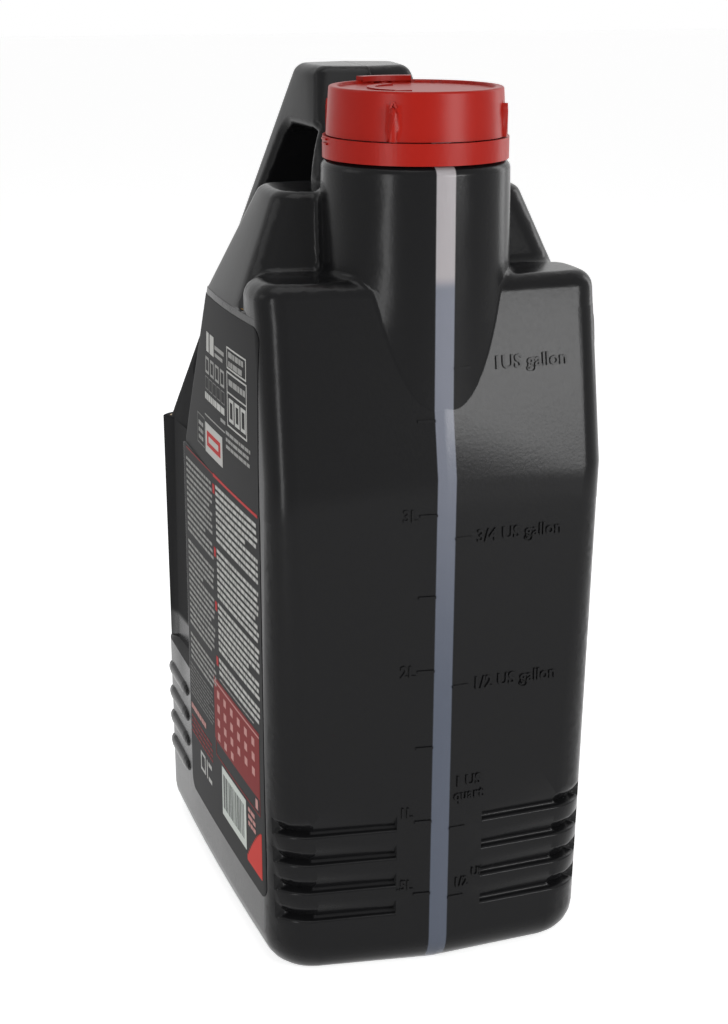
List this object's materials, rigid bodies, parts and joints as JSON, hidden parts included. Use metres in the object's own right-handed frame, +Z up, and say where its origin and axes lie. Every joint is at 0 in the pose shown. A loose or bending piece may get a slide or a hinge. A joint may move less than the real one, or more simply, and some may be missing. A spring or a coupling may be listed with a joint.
{
  "type": "motor oil bottle",
  "caption": "Black blow-moulded motor oil bottle with a red screw cap, a diagonal grip handle, side labels and a clear level stripe.",
  "frame": {"origin": "centre of the base's underside", "axes": "+X towards the spout end, +Y towards the left side, +Z up"},
  "size_m": [0.1788, 0.1178, 0.298],
  "materials": {
    "black_plastic": "satin",
    "red_plastic": "satin",
    "label_film": "gloss",
    "oil": "gloss",
    "foil": "brushed",
    "liner_foam": "matte"
  },
  "bodies": {
    "bottle": {"bottle": "black_plastic", "oil": "oil", "foil_seal": "foil", "tamper_band": "red_plastic", "label_right": "label_film", "label_left": "label_film"},
    "liner": {"cap_liner": "liner_foam"},
    "cap": {"cap": "red_plastic"}
  },
  "joints": [
    {"name": "cap_lift", "type": "slide", "parent": "bottle", "child": "liner", "axis": [0, 0, 1], "range_m": [0, 0.0076]},
    {"name": "cap_turn", "type": "hinge", "parent": "liner", "child": "cap", "pos_m": [0.0534, 0, 0.29], "axis": [0, 0, 1], "range_deg": [0, 540]}
  ],
  "couplings": [
    {"joint": "cap_lift", "follows": "cap_turn", "m_per_rad": 0.00079577}
  ]
}
